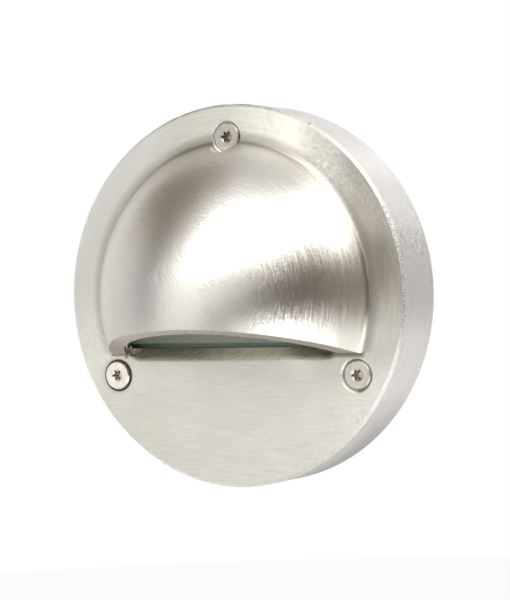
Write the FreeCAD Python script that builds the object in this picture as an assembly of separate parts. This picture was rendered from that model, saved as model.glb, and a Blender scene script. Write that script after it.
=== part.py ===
import FreeCAD, Part
import math
import os

# Round surface-mounted step light: a thick stainless cover with a half-dome hood over a slot of
# frosted glass, held by three countersunk screws to a base that is screwed to a wall.
#
# Sizes are in millimetres. +Z is up and the front faces -Y, so +X is on the viewer's right.
# The origin is the centre of the face that lies on the wall. "Out" is the distance from the wall,
# so a point at "out" 5 has y = -5. X and Z are measured from the axis of the round body.

# ---- cover: the turned disc with its skirt
cover_radius = 55.0
cover_length = 19.5          # edge of the skirt to the flat face
wall_gap = 0.3               # the edge of the skirt stands clear of the wall
skirt_wall = 4.2
rim_chamfer = 0.8
skirt_edge_chamfer = 0.4

# ---- hood: part of a ball on the cover's axis, cut off below by a slanted plane
face_border = 11.05          # from the cover's edge to the ball, on the flat face
hood_set_back = 17.7         # centre of the ball behind the flat face
hood_wall = 4.4
hood_core_shift = -0.6       # the hollow lies this far to the left of the outside
cove_radius = 2.6            # hollow fillet where the hood meets the flat face
lip_height = -16.8           # height at which the lip's plane meets the flat face
lip_rise_angle = 15.6        # the plane rises towards the front, degrees

# ---- light opening in the flat face, under the hood
ledge_thickness = 2.4        # metal left in front of the glass
sill_height = -15.0          # top edge of the sill, at the glass
sill_drop = 2.8              # how much lower the sill's bevel would meet the flat face
sill_round = 3.0             # radius where the bevel runs out into the flat face
sill_end_margin = 1.2        # the bevel stops this short of the opening's side

# ---- glass and what holds it
glass_seat = 1.8             # how far the glass reaches past the opening
glass_thickness = 3.0
gasket_lip = 0.8
gasket_web = 1.0
gasket_grip = 1.5            # how far each lip covers the glass
pocket_clearance = 0.1
clamp_ring_thickness = 1.2
clamp_ring_overlap = 0.9     # on the back of the cover, all round
clamp_ring_ear_radius = 3.6
post_scallop_clearance = 0.6

# ---- cover screws, M4 with a six-lobe recess
screw_names = ("top", "left", "right")
first_screw_angle = 90.0
screw_edge_distance = 9.35   # from the cover's edge to the screw's axis
screw_sink_top = 0.05        # head below the flat face
screw_sink_left = -0.4
screw_sink_right = 0.35
screw_length = 14.0
screw_shank_radius = 1.95
screw_cone_radius = 4.7      # of the full cone, before the head's rim is turned down
screw_head_radius = 4.15
screw_head_bevel = 0.35
screw_hole_clearance = 0.3
thread_clearance = 0.15
seat_clearance = 0.06
lobe_tip_radius = 1.68
lobe_root_radius = 1.2
lobe_round_radius = 0.37
lobe_depth = 1.7
lobe_point = 0.5             # depth of the drill point under the recess
lobe_count = 6
lobe_mouth_chamfer = 0.3

# ---- base
base_clearance = 0.4         # between the base and the skirt
floor_thickness = 3.0
rim_wall = 3.0
rim_height = 6.0
post_radius = 3.8
post_seal_thickness = 1.0
post_hole_floor = 0.6        # metal kept between a post's hole and the base's floor
seal_cord_radius = 0.95
seal_clearance = 0.2
seal_lip_height = 1.6        # the groove starts this far above the floor
fixing_edge_distance = 8.4   # from the base's edge to a wall screw's axis
fixing_hole_radius = 2.25

# ---- wall gasket and cable entry
wall_gasket_thickness = 1.0
wall_gasket_inset = 0.8
entry_inset = 12.0           # from the tray's edge to the cable's axis
entry_angle = 241.4
cable_hole_radius = 3.0
grommet_neck_radius = 4.4
grommet_flange_radius = 6.0
grommet_flange_thickness = 1.2
grommet_clearance = 0.1

# ---- reflector tray
tray_fixing_margin = 5.0     # from the tray's edge to a wall screw's axis
tray_thickness = 0.8
tray_cut_margin = 0.6
tray_screw_inset = 6.0
tray_screw_angles = (90.0, 203.0, 343.0)

# ---- small screws, M2.5 pan head
small_shank_radius = 1.2
small_head_radius = 2.2
small_head_height = 1.4
small_hole_clearance = 0.1
small_slot_width = 0.6
small_slot_depth = 0.7
small_grip = 2.0             # length of screw in the metal that it bites into
small_tip_clearance = 0.3
counterbore_clearance = 0.2

# ---- lamp: a round board of light-emitting diodes with two pins, and its holder
pin_height = 3.6             # pin centres above the tray
pin_spacing = 4.0
pin_radius = 0.35
pin_insertion = 6.0
pin_on_board = 4.0
lamp_x = 6.0
lamp_z = 10.0
lamp_radius = 12.0
lamp_board_thickness = 1.2
lamp_gap = 2.0               # board to holder
chip_size = 3.0
chip_height = 0.7
chip_pitch = 5.6
rectifier_size = (6.0, 5.0, 1.6)
capacitor_radius = 1.5
capacitor_length = 4.0
holder_length = 16.0
holder_width = 12.0
holder_height = 7.2
contact_outer_radius = 0.85
contact_inner_radius = 0.5
contact_clearance = 0.08
contact_inset = 0.5
contact_tail = 0.7           # contact beyond the lead that feeds it
near_lead_x = 3.0            # from the holder's mouth
far_lead_x = 9.5
holder_screw_x = 13.5

# ---- terminal block
block_x = 16.0
block_z = -21.0
block_width = 16.0
block_length = 14.0
block_clearance = 0.4        # under the glass clamp ring
pole_spacing = 8.0
clamp_radius = 1.9
clamp_bore_radius = 1.2
clamp_inset = 1.0
clamp_screw_radius = 0.9
clamp_screw_head_radius = 1.6
clamp_screw_head_height = 1.2
clamp_screw_inset = 3.0
clamp_screw_rise = 0.2
clamp_access_clearance = 0.25

# ---- leads from the terminal block to the holder
lead_radius = 0.8
wire_radius = 0.45
wire_in_clamp = 4.0
lead_bend_radius = 4.0
outer_lead_run_z = -5.0
inner_lead_run_z = -8.8
lead_bore_clearance = 0.1

# ---- places that follow from the sizes above, "out" from the wall
face = wall_gap + cover_length
ledge_back = face - ledge_thickness
pocket_depth = glass_thickness + 2 * gasket_lip
cover_back = ledge_back - pocket_depth
hood_centre = face - hood_set_back
hood_radius = math.hypot(cover_radius - face_border, hood_set_back)
skirt_inner_radius = cover_radius - skirt_wall
base_radius = skirt_inner_radius - base_clearance
fixing_radius = base_radius - fixing_edge_distance
tray_radius = fixing_radius - tray_fixing_margin
base_back = wall_gasket_thickness
floor_top = base_back + floor_thickness
post_top = cover_back - post_seal_thickness
opening_radius = math.sqrt((hood_radius - hood_wall) ** 2 - hood_set_back ** 2)
glass_radius = opening_radius + glass_seat
pocket_radius = glass_radius + gasket_web + pocket_clearance
gasket_inner_radius = glass_radius - gasket_grip
screw_circle_radius = cover_radius - screw_edge_distance
screw_sinks = dict(zip(screw_names, (screw_sink_top, screw_sink_left, screw_sink_right)))
clamp_ring_back = cover_back - clamp_ring_thickness
tray_front = floor_top + tray_thickness
pin_out = tray_front + pin_height
board_back = pin_out + pin_radius
board_front = board_back + lamp_board_thickness
holder_mouth = lamp_x - lamp_radius - lamp_gap
holder_front = tray_front + holder_height
block_front = clamp_ring_back - block_clearance
small_tip = floor_top - small_grip
small_hole_end = small_tip - small_tip_clearance


def vec(x, out, z):
    """Point at x and z, the given distance out from the wall."""
    return FreeCAD.Vector(x, -out, z)


def disc(radius, start, end, x=0.0, z=0.0):
    """Cylinder square to the wall, from start to end, both measured out from it."""
    return Part.makeCylinder(radius, end - start, vec(x, start, z), FreeCAD.Vector(0, -1, 0))


def ring(outer, inner, start, end, x=0.0, z=0.0):
    """Flat ring square to the wall."""
    return disc(outer, start, end, x, z).cut(disc(inner, start, end, x, z))


def taper(start_radius, end_radius, start, end, x=0.0, z=0.0):
    """Cone frustum square to the wall."""
    length = end - start
    return Part.makeCone(start_radius, end_radius, length, vec(x, start, z), FreeCAD.Vector(0, -1, 0))


def block(x_low, x_high, start, end, z_low, z_high):
    """Box between two x values, two distances out and two heights."""
    corner = vec(x_low, end, z_low)
    return Part.makeBox(x_high - x_low, end - start, z_high - z_low, corner)


def bar_x(radius, x_start, x_end, out, z):
    """Cylinder along X."""
    return Part.makeCylinder(radius, x_end - x_start, vec(x_start, out, z), FreeCAD.Vector(1, 0, 0))


def bar_z(radius, x, out, z_start, z_end):
    """Cylinder along Z."""
    return Part.makeCylinder(radius, z_end - z_start, vec(x, out, z_start), FreeCAD.Vector(0, 0, 1))


def turned(edges):
    """Solid turned about the cover's axis from the closed outline that the edges make."""
    outline = Part.Face(Part.Wire(edges))
    return outline.revolve(FreeCAD.Vector(0, 0, 0), FreeCAD.Vector(0, 1, 0), 360)


def line(start, end):
    """Straight edge between two points."""
    return Part.LineSegment(start, end).toShape()


def arc(start, middle, end):
    """Round edge through three points."""
    return Part.Arc(start, middle, end).toShape()


def on_circle(radius, degrees):
    """x and z of a point on a circle about the cover's axis."""
    angle = math.radians(degrees)
    return radius * math.cos(angle), radius * math.sin(angle)


def screw_places(turn=0.0):
    """x and z of the cover screws, or of places turned from them by a share of their spacing."""
    step = 360.0 / len(screw_names)
    angles = [first_screw_angle + step * (index + turn) for index in range(len(screw_names))]
    return [on_circle(screw_circle_radius, angle) for angle in angles]


def screw_place(name):
    """x and z of one cover screw."""
    return screw_places()[screw_names.index(name)]


def clamp_ring_screw_places():
    """x and z of the screws of the glass clamp ring, half way between the cover screws."""
    return screw_places(turn=0.5)


def entry_place():
    """x and z of the cable entry."""
    return on_circle(tray_radius - entry_inset, entry_angle)


def tray_screw_places():
    """x and z of the tray's own screws."""
    return [on_circle(tray_radius - tray_screw_inset, angle) for angle in tray_screw_angles]


def drilled(solid, radius, places, start, end):
    """The solid with a round hole square to the wall at each place."""
    for x, z in places:
        solid = solid.cut(disc(radius, start, end, x, z))
    return solid


# ---------------------------------------------------------------- cover


def hood_outside():
    """Ball cap with its cove, standing on the flat face and rooted inside the front wall."""
    root = face - ledge_thickness / 2
    reach = hood_radius + cove_radius
    cove_out = face + cove_radius
    cove_centre = math.sqrt(reach ** 2 - (cove_out - hood_centre) ** 2)
    share = hood_radius / reach
    join = vec(cove_centre * share, hood_centre + (cove_out - hood_centre) * share, 0)
    lean = math.atan2(cove_centre - join.x, cove_out + join.y) / 2
    cove_middle = vec(cove_centre - cove_radius * math.sin(lean), cove_out - cove_radius * math.cos(lean), 0)
    foot = vec(cove_centre, face, 0)
    join_middle = vec(0, -join.y, 0)
    base = turned([
        arc(foot, cove_middle, join),
        line(join, join_middle),
        line(join_middle, vec(0, root, 0)),
        line(vec(0, root, 0), vec(cove_centre, root, 0)),
        line(vec(cove_centre, root, 0), foot),
    ])
    ball = Part.makeSphere(hood_radius, vec(0, hood_centre, 0))
    front = block(-cover_radius, cover_radius, -join.y, face + hood_radius, -cover_radius, cover_radius)
    return base.fuse(ball.common(front))


def below_the_lip():
    """Everything in front of the flat face and under the lip's slanted plane."""
    far = face + 2 * hood_radius
    rise = (far - face) * math.tan(math.radians(lip_rise_angle))
    half_width = 2 * cover_radius
    corners = [
        vec(-half_width, face, lip_height),
        vec(-half_width, far, lip_height + rise),
        vec(-half_width, far, -half_width),
        vec(-half_width, face, -half_width),
    ]
    side = Part.Face(Part.makePolygon(corners + corners[:1]))
    return side.extrude(FreeCAD.Vector(2 * half_width, 0, 0))


def sill_outline(x, turn):
    """Outline of the bevel at x with its rounded foot, and the foot's distance below the sill."""
    tangent = sill_round * math.tan(turn / 2)
    foot = sill_height - sill_drop - tangent
    start = vec(x, ledge_back, sill_height)
    join = vec(x, face - tangent * math.sin(turn), sill_height - sill_drop + tangent * math.cos(turn))
    across = sill_round * (1 - math.cos(turn / 2))
    middle = vec(x, face - across, foot + sill_round * math.sin(turn / 2))
    end = vec(x, face, foot)
    top = vec(x, face, sill_height)
    outline = Part.Wire([line(start, join), arc(join, middle, end), line(end, top), line(top, start)])
    return Part.Face(outline), sill_height - foot


def sill_bevel():
    """Path of a cone-shaped cutter along the sill: a bevel with a quarter cone at each end."""
    turn = math.atan2(ledge_thickness, sill_drop)
    reach = sill_outline(0, turn)[1]
    half = math.sqrt(opening_radius ** 2 - sill_height ** 2) - sill_end_margin - reach
    left = hood_core_shift - half
    profile = sill_outline(left, turn)[0]
    bevel = profile.extrude(FreeCAD.Vector(2 * half, 0, 0))
    for x in (left, left + 2 * half):
        profile = sill_outline(x, turn)[0]
        bevel = bevel.fuse(profile.revolve(vec(x, 0, sill_height), FreeCAD.Vector(0, 1, 0), 360))
    return bevel


def light_opening():
    """The hood's hollow, the window through the front wall, and the sill's bevel."""
    hollow_radius = hood_radius - hood_wall
    ball = Part.makeSphere(hollow_radius, vec(hood_core_shift, hood_centre, 0))
    front_half = block(-cover_radius, cover_radius, face, face + hood_radius, -cover_radius, cover_radius)
    hollow = ball.common(front_half)
    window = disc(opening_radius, ledge_back, face, hood_core_shift, 0)
    above_sill = block(-cover_radius, cover_radius, ledge_back, face, sill_height, cover_radius)
    window = window.common(above_sill)
    return hollow.fuse(window).fuse(sill_bevel())


def countersink(name):
    """Screw hole with its cone, and the cutter's path in front of the flat face."""
    x, z = screw_place(name)
    mouth = screw_cone_radius + screw_sinks[name]
    hole = screw_shank_radius + screw_hole_clearance
    cone = taper(hole, mouth, face - (mouth - hole), face, x, z)
    path = disc(mouth, face, face + hood_radius, x, z)
    return disc(hole, cover_back, face, x, z).fuse(cone).fuse(path)


def hood_cover():
    """Front disc, skirt and hood in one piece."""
    edge = cover_radius - skirt_edge_chamfer
    skirt_foot = wall_gap + skirt_edge_chamfer
    shell = disc(cover_radius, skirt_foot, face - rim_chamfer)
    shell = shell.fuse(taper(edge, cover_radius, wall_gap, skirt_foot))
    shell = shell.fuse(taper(cover_radius, cover_radius - rim_chamfer, face - rim_chamfer, face))
    shell = shell.cut(disc(skirt_inner_radius, wall_gap, cover_back))
    shell = shell.cut(disc(pocket_radius, cover_back, ledge_back))
    shell = shell.fuse(hood_outside().cut(below_the_lip()))
    shell = shell.cut(light_opening())
    for name in screw_names:
        shell = shell.cut(countersink(name))
    hole = small_shank_radius + small_hole_clearance / 2
    end = cover_back + small_grip + small_tip_clearance
    shell = drilled(shell, hole, clamp_ring_screw_places(), cover_back, end)
    return shell.removeSplitter()


def window_glass():
    """Frosted glass disc."""
    start = cover_back + gasket_lip
    return disc(glass_radius, start, start + glass_thickness)


def glass_gasket():
    """Channel of silicone round the edge of the glass."""
    band = ring(glass_radius + gasket_web, gasket_inner_radius, cover_back, ledge_back)
    return band.cut(window_glass())


def glass_clamp_ring():
    """Sheet ring with three ears that presses the gasket into its pocket."""
    outer = pocket_radius + clamp_ring_overlap
    body = disc(outer, clamp_ring_back, cover_back)
    for x, z in clamp_ring_screw_places():
        body = body.fuse(disc(clamp_ring_ear_radius, clamp_ring_back, cover_back, x, z))
    body = body.cut(disc(gasket_inner_radius, clamp_ring_back, cover_back))
    body = drilled(body, post_radius + post_scallop_clearance, screw_places(), clamp_ring_back, cover_back)
    hole = small_shank_radius + small_hole_clearance
    body = drilled(body, hole, clamp_ring_screw_places(), clamp_ring_back, cover_back)
    return body.removeSplitter()


def slotted_screw(x, z, tip, seat, toward_wall=False):
    """Small slotted pan-head screw from its tip to its seat, its head beyond the seat."""
    if toward_wall:
        shank = disc(small_shank_radius, seat, tip, x, z)
        head = disc(small_head_radius, seat - small_head_height, seat, x, z)
        slot_start = seat - small_head_height
    else:
        shank = disc(small_shank_radius, tip, seat, x, z)
        head = disc(small_head_radius, seat, seat + small_head_height, x, z)
        slot_start = seat + small_head_height - small_slot_depth
    half = small_slot_width / 2
    reach = small_head_radius
    slot = block(x - reach, x + reach, slot_start, slot_start + small_slot_depth, z - half, z + half)
    return shank.fuse(head).cut(slot)


def clamp_ring_screws():
    """Three screws that hold the clamp ring to the back of the cover."""
    tip = cover_back + small_grip
    return [slotted_screw(x, z, tip, clamp_ring_back, True) for x, z in clamp_ring_screw_places()]


def six_lobe_recess(x, z, top):
    """Six round lobes about a round core, with a chamfered mouth."""
    floor = top - lobe_depth
    recess = disc(lobe_root_radius, floor, top, x, z)
    for lobe in range(lobe_count):
        dx, dz = on_circle(lobe_tip_radius - lobe_round_radius, lobe * 360.0 / lobe_count)
        recess = recess.fuse(disc(lobe_round_radius, floor, top, x + dx, z + dz))
    recess = recess.fuse(taper(lobe_root_radius - lobe_point, lobe_root_radius, floor - lobe_point, floor, x, z))
    start = lobe_tip_radius - lobe_mouth_chamfer
    return recess.fuse(taper(start, lobe_tip_radius + lobe_mouth_chamfer / 2, top - lobe_mouth_chamfer, top, x, z))


def cover_screw(name):
    """Countersunk screw whose head is turned down to a short rim."""
    x, z = screw_place(name)
    top = face - screw_sinks[name]
    cone = screw_cone_radius - seat_clearance
    shoulder = top - (cone - screw_shank_radius)
    head = taper(screw_shank_radius, cone, shoulder, top, x, z)
    rim = disc(screw_head_radius, shoulder, top - screw_head_bevel, x, z)
    bevel = taper(screw_head_radius, screw_head_radius - screw_head_bevel, top - screw_head_bevel, top, x, z)
    head = head.common(rim.fuse(bevel))
    shank = disc(screw_shank_radius, top - screw_length, shoulder, x, z)
    return shank.fuse(head).cut(six_lobe_recess(x, z, top))


# ---------------------------------------------------------------- base


def small_screw_places():
    """x and z of every small screw that bites into the base's floor."""
    holder = (holder_mouth - holder_screw_x, lamp_z)
    return tray_screw_places() + [holder, (block_x, block_z)]


def fixing_places():
    """x and z of the two holes for the wall screws."""
    return [(-fixing_radius, 0.0), (fixing_radius, 0.0)]


def seal_groove_start():
    """Wall side of the groove for the cover's seal."""
    return floor_top + seal_lip_height


def base_housing():
    """Round tray with a grooved rim and three tapped posts."""
    body = disc(base_radius, base_back, floor_top)
    body = body.fuse(ring(base_radius, base_radius - rim_wall, floor_top, floor_top + rim_height))
    for x, z in screw_places():
        body = body.fuse(disc(post_radius, floor_top, post_top, x, z))
    body = body.common(disc(base_radius, base_back, post_top))
    tapped = screw_shank_radius + thread_clearance
    body = drilled(body, tapped, screw_places(), floor_top + post_hole_floor, post_top)
    groove_depth = 2 * seal_cord_radius + seal_clearance - base_clearance + seal_clearance
    width = 2 * (seal_cord_radius + seal_clearance)
    start = seal_groove_start()
    body = body.cut(ring(cover_radius, base_radius - groove_depth, start, start + width))
    body = drilled(body, fixing_hole_radius, fixing_places(), base_back, floor_top)
    body = drilled(body, grommet_neck_radius + grommet_clearance, [entry_place()], base_back, floor_top)
    hole = small_shank_radius + small_hole_clearance / 2
    body = drilled(body, hole, small_screw_places(), small_hole_end, floor_top)
    return body.removeSplitter()


def cover_seal_ring():
    """Round-section seal between the base and the skirt."""
    centre = skirt_inner_radius - seal_clearance - seal_cord_radius
    middle = seal_groove_start() + seal_cord_radius + seal_clearance
    return Part.makeTorus(centre, seal_cord_radius, vec(0, middle, 0), FreeCAD.Vector(0, 1, 0))


def post_seals():
    """Washer of silicone on each post, round its screw."""
    inner = screw_shank_radius + screw_hole_clearance
    outer = post_radius - pocket_clearance
    return [ring(outer, inner, post_top, cover_back, x, z) for x, z in screw_places()]


def wall_gasket():
    """Sheet of foam rubber between the base and the wall."""
    sheet = disc(base_radius - wall_gasket_inset, 0, base_back)
    sheet = drilled(sheet, fixing_hole_radius, fixing_places(), 0, base_back)
    return drilled(sheet, grommet_flange_radius + grommet_clearance, [entry_place()], 0, base_back)


def cable_grommet():
    """Rubber grommet with a flange on each side of the base's floor."""
    front = floor_top + grommet_flange_thickness
    x, z = entry_place()
    body = disc(grommet_neck_radius, 0, front, x, z)
    body = body.fuse(disc(grommet_flange_radius, 0, base_back, x, z))
    body = body.fuse(disc(grommet_flange_radius, floor_top, front, x, z))
    return body.cut(disc(cable_hole_radius, 0, front, x, z))


def reflector_tray():
    """Thin polished plate on the floor of the base."""
    sheet = disc(tray_radius, floor_top, tray_front)
    cut_radius = grommet_flange_radius + tray_cut_margin
    sheet = drilled(sheet, cut_radius, [entry_place()], floor_top, tray_front)
    hole = small_shank_radius + small_hole_clearance
    return drilled(sheet, hole, small_screw_places(), floor_top, tray_front)


def tray_screws():
    """Three screws that hold the tray to the base."""
    return [slotted_screw(x, z, small_tip, tray_front) for x, z in tray_screw_places()]


# ---------------------------------------------------------------- lamp and holder


def pin_heights():
    """z of the two pins."""
    return [lamp_z - pin_spacing / 2, lamp_z + pin_spacing / 2]


def led_board():
    """Round circuit board."""
    return disc(lamp_radius, board_back, board_front, lamp_x, lamp_z)


def led_chips():
    """Three rows of three chips on the front of the board."""
    half = chip_size / 2
    chips = []
    for column in (-1, 0, 1):
        for row in (-1, 0, 1):
            x = lamp_x + column * chip_pitch
            z = lamp_z + row * chip_pitch
            chips.append(block(x - half, x + half, board_front, board_front + chip_height, z - half, z + half))
    return chips


def lamp_pins():
    """Two straight pins along the back of the board."""
    tip = holder_mouth - pin_insertion
    root = lamp_x - lamp_radius + pin_on_board
    return [bar_x(pin_radius, tip, root, pin_out, z) for z in pin_heights()]


def lamp_rectifier():
    """Rectifier and capacitor on the back of the board."""
    width, height, depth = rectifier_size
    x = lamp_x
    chip = block(x - width / 2, x + width / 2, board_back - depth, board_back, lamp_z - height, lamp_z)
    top = lamp_z + height
    can = bar_x(capacitor_radius, x, x + capacitor_length, board_back - capacitor_radius, top)
    return [chip, can]


def contact_ends():
    """For each pin: its height, the far end of its contact, and the x of the lead that feeds it."""
    low, high = pin_heights()
    near = holder_mouth - near_lead_x
    far = holder_mouth - far_lead_x
    reach = contact_outer_radius + contact_tail
    return [(low, near - reach, near), (high, far - reach, far)]


def holder_bottom():
    """z of the holder's lower side."""
    return lamp_z - holder_width / 2


def lampholder_body():
    """Ceramic block with two pin bores, two lead bores and a screw hole."""
    left = holder_mouth - holder_length
    half = holder_width / 2
    body = block(left, holder_mouth, tray_front, holder_front, lamp_z - half, lamp_z + half)
    bore = contact_outer_radius + contact_clearance
    for z, end, lead_x in contact_ends():
        deep = min(end, holder_mouth - pin_insertion - contact_inset)
        body = body.cut(bar_x(bore, deep, holder_mouth, pin_out, z))
        body = body.cut(bar_z(wire_radius + lead_bore_clearance, lead_x, pin_out, lamp_z - half, z))
    x = holder_mouth - holder_screw_x
    hole = small_shank_radius + small_hole_clearance
    body = body.cut(disc(hole, tray_front, holder_front, x, lamp_z))
    sunk = holder_front - small_head_height
    return body.cut(disc(small_head_radius + counterbore_clearance, sunk, holder_front, x, lamp_z))


def lampholder_contacts():
    """Brass sleeve round each pin."""
    front = holder_mouth - contact_inset
    contacts = []
    for z, end, lead_x in contact_ends():
        sleeve = bar_x(contact_outer_radius, end, front, pin_out, z)
        contacts.append(sleeve.cut(bar_x(contact_inner_radius, end, front, pin_out, z)))
    return contacts


def lampholder_screw():
    """Screw through the holder into the base's floor."""
    return slotted_screw(holder_mouth - holder_screw_x, lamp_z, small_tip, holder_front - small_head_height)


# ---------------------------------------------------------------- terminal block and leads


def pole_places():
    """x of the two poles."""
    return [block_x - pole_spacing / 2, block_x + pole_spacing / 2]


def clamp_ends():
    """Lower and upper z of the brass clamps."""
    half = block_length / 2 - clamp_inset
    return block_z - half, block_z + half


def clamp_screw_places():
    """x and z of the four wire screws."""
    low, high = clamp_ends()
    return [(x, z) for x in pole_places() for z in (low + clamp_screw_inset, high - clamp_screw_inset)]


def terminal_block():
    """Nylon body with two through bores, four screw wells and a fixing hole."""
    half_width = block_width / 2
    half = block_length / 2
    left = block_x - half_width
    body = block(left, left + block_width, tray_front, block_front, block_z - half, block_z + half)
    for x in pole_places():
        body = body.cut(bar_z(clamp_radius + contact_clearance, x, pin_out, block_z - half, block_z + half))
    well = clamp_screw_head_radius + clamp_access_clearance
    body = drilled(body, well, clamp_screw_places(), pin_out, block_front)
    hole = small_shank_radius + small_hole_clearance
    body = body.cut(disc(hole, tray_front, block_front, block_x, block_z))
    sunk = block_front - small_head_height
    return body.cut(disc(small_head_radius + counterbore_clearance, sunk, block_front, block_x, block_z))


def terminal_clamps():
    """Brass tube in each pole, drilled for its two screws."""
    low, high = clamp_ends()
    clamps = []
    for x in pole_places():
        tube = bar_z(clamp_radius, x, pin_out, low, high).cut(bar_z(clamp_bore_radius, x, pin_out, low, high))
        for z in (low + clamp_screw_inset, high - clamp_screw_inset):
            tube = tube.cut(disc(clamp_screw_radius + lead_bore_clearance, pin_out, block_front, x, z))
        clamps.append(tube)
    return clamps


def terminal_screws():
    """Slotted screws that press the wires down in the clamps."""
    screws = []
    for x, z in clamp_screw_places():
        tip = pin_out + wire_radius
        seat = pin_out + clamp_radius + clamp_screw_rise
        top = seat + clamp_screw_head_height
        shank = disc(clamp_screw_radius, tip, seat, x, z)
        head = disc(clamp_screw_head_radius, seat, top, x, z)
        half = small_slot_width / 2
        reach = clamp_screw_head_radius
        slot = block(x - reach, x + reach, top - small_slot_depth, top, z - half, z + half)
        screws.append(shank.fuse(head).cut(slot))
    return screws


def terminal_fixing_screw():
    """Screw through the terminal block into the base's floor."""
    return slotted_screw(block_x, block_z, small_tip, block_front - small_head_height)


def lead_tube(radius, x_low, z_low, run_z, x_high, z_high):
    """Tube that rises from z_low at x_low, runs level at run_z, and rises to z_high at x_high."""
    bend = lead_bend_radius
    side = 1 if x_high > x_low else -1
    slant = bend * (1 - math.sqrt(0.5))
    start = vec(x_low, pin_out, z_low)
    first = vec(x_low, pin_out, run_z - bend)
    first_middle = vec(x_low + side * slant, pin_out, run_z - slant)
    second = vec(x_low + side * bend, pin_out, run_z)
    third = vec(x_high - side * bend, pin_out, run_z)
    last_middle = vec(x_high - side * slant, pin_out, run_z + slant)
    fourth = vec(x_high, pin_out, run_z + bend)
    end = vec(x_high, pin_out, z_high)
    path = Part.Wire([
        line(start, first),
        arc(first, first_middle, second),
        line(second, third),
        arc(third, last_middle, fourth),
        line(fourth, end),
    ])
    mouth = Part.Wire([Part.makeCircle(radius, start, FreeCAD.Vector(0, 0, 1))])
    return path.makePipeShell([mouth], True, False)


def lead_routes():
    """Each lead's terminal x, level run and holder x."""
    left_pole, right_pole = pole_places()
    (low_z, low_end, near_x), (high_z, high_end, far_x) = contact_ends()
    return [(right_pole, outer_lead_run_z, near_x, low_z), (left_pole, inner_lead_run_z, far_x, high_z)]


def lamp_leads():
    """Two insulated leads between the terminal block and the holder."""
    top = block_z + block_length / 2
    return [lead_tube(lead_radius, x, top, run, end_x, holder_bottom()) for x, run, end_x, z in lead_routes()]


def lead_ends():
    """Bare wire at each end of the leads, in its clamp and in the holder."""
    top = block_z + block_length / 2
    wires = []
    for x, run, end_x, contact_z in lead_routes():
        wires.append(bar_z(wire_radius, x, pin_out, top - wire_in_clamp, top))
        wires.append(bar_z(wire_radius, end_x, pin_out, holder_bottom(), contact_z - contact_outer_radius))
    return wires


# ---------------------------------------------------------------- files


def save(name, solids):
    """Write one named sub-part, of one solid or of several alike."""
    shape = Part.makeCompound(solids) if isinstance(solids, list) else solids
    for solid in shape.Solids:
        if not solid.isValid():
            raise ValueError(name + " is not a valid solid")
    shape.exportStep("parts/" + name + ".step")
    print(name, len(shape.Solids), round(shape.Volume, 2))


def main():
    os.makedirs("parts", exist_ok=True)
    save("hood_cover", hood_cover())
    save("window_glass", window_glass())
    save("glass_gasket", glass_gasket())
    save("glass_clamp_ring", glass_clamp_ring())
    save("clamp_ring_screws", clamp_ring_screws())
    for name in screw_names:
        save("cover_screw_" + name, cover_screw(name))
    save("base_housing", base_housing())
    save("cover_seal_ring", cover_seal_ring())
    save("post_seals", post_seals())
    save("wall_gasket", wall_gasket())
    save("cable_grommet", cable_grommet())
    save("reflector_tray", reflector_tray())
    save("tray_screws", tray_screws())
    save("led_board", led_board())
    save("led_chips", led_chips())
    save("lamp_pins", lamp_pins())
    save("lamp_rectifier", lamp_rectifier())
    save("lampholder_body", lampholder_body())
    save("lampholder_contacts", lampholder_contacts())
    save("lampholder_screw", lampholder_screw())
    save("terminal_block", terminal_block())
    save("terminal_clamps", terminal_clamps())
    save("terminal_screws", terminal_screws())
    save("terminal_fixing_screw", terminal_fixing_screw())
    save("lamp_leads", lamp_leads())
    save("lead_ends", lead_ends())


main()
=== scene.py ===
import bmesh
import bpy
import math
import numpy as np
from mathutils import Matrix, Vector
from types import SimpleNamespace


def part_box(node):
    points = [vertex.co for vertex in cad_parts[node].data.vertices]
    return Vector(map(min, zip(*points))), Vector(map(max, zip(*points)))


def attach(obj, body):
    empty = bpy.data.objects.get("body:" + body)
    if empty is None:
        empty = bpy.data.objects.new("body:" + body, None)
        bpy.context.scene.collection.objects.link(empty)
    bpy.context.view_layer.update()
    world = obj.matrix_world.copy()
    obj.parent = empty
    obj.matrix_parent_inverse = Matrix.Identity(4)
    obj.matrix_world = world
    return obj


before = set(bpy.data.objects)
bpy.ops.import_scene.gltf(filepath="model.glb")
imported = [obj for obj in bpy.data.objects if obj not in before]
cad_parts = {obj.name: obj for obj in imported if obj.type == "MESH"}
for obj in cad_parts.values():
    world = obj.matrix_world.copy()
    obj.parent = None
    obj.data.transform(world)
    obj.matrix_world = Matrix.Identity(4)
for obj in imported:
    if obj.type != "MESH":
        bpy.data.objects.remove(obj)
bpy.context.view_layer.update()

# Metres. +Z is up and the light's front faces -Y; its back lies on the plane Y = 0.
MM = 0.001

# ---- the camera, as the photograph has it
PHOTO_WIDTH = 510
PHOTO_HEIGHT = 600
AIM_PIXEL = (230.75, 295.87)          # where the middle of the flat face falls
FOCAL_PIXELS = 2021.98
VIEW_DISTANCE = 0.58037               # from the middle of the flat face
VIEW_TURN = 30.058                    # degrees to the right of the light's axis
VIEW_RISE = 0.623
VIEW_ROLL = -1.678
SENSOR_HEIGHT = 36.0

# ---- the cover's own sizes
COVER_LOW, COVER_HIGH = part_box("hood_cover")
BODY_RADIUS = (COVER_HIGH.x - COVER_LOW.x) / 2
FACE_OUT = 19.8 * MM                  # flat face, measured out from the wall
RIM_WIDTH = 0.8 * MM
SILL_HEIGHT = -15 * MM
LIP_HEIGHT = -16.8 * MM
LIP_RISE = math.radians(15.6)
HOOD_SET_BACK = 17.7 * MM
HOOD_RADIUS = 47.38 * MM

# ---- the cover's screws
SCREW_NAMES = ("top", "left", "right")
# painted light and shade: the three heads are one steel, each lighter or darker for how it catches the light
SCREW_LIGHT_TONES = (0.53, 0.98, 0.65)
SCREW_GAP_SHADE = (0.7, 1.0, 0.55)         # how dark the painted shade round each screw is
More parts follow.
